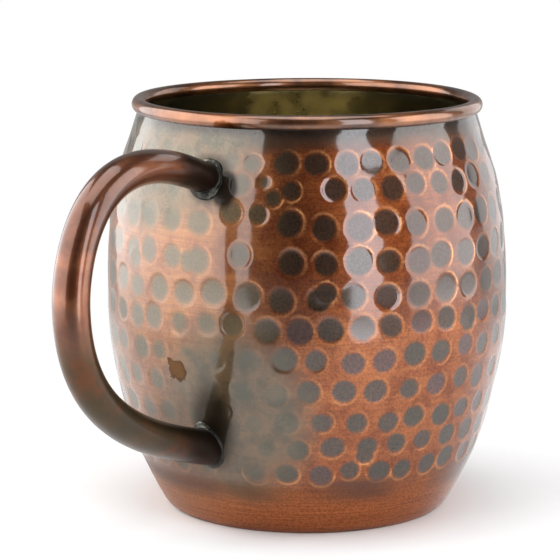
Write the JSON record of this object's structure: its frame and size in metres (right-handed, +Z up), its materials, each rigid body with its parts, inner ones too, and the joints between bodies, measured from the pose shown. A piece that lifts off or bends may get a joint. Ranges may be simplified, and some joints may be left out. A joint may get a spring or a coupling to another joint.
{
  "type": "mug",
  "caption": "Hammered copper barrel mug with a rolled rim ring, a smooth rounded foot and a bent tube handle brazed to its side.",
  "frame": {"origin": "centre of the flat underside, on the barrel's axis", "axes": "+Z up along the barrel's axis; the handle stands towards -X in the XZ plane; +Y completes the right-handed frame"},
  "size_m": [0.1419, 0.093, 0.095],
  "materials": {
    "hammered_copper": "antiqued copper, hammered, grey patina in the dents and polished ridges",
    "rim_copper": "polished dark copper",
    "tube_copper": "polished brown copper with a grey-green heat patina",
    "braze_alloy": "dull silver-grey braze"
  },
  "bodies": {
    "root": {"body_shell": "hammered_copper", "rim_ring": "rim_copper", "handle_tube": "tube_copper", "upper_braze": "braze_alloy", "lower_braze": "braze_alloy"}
  },
  "joints": []
}
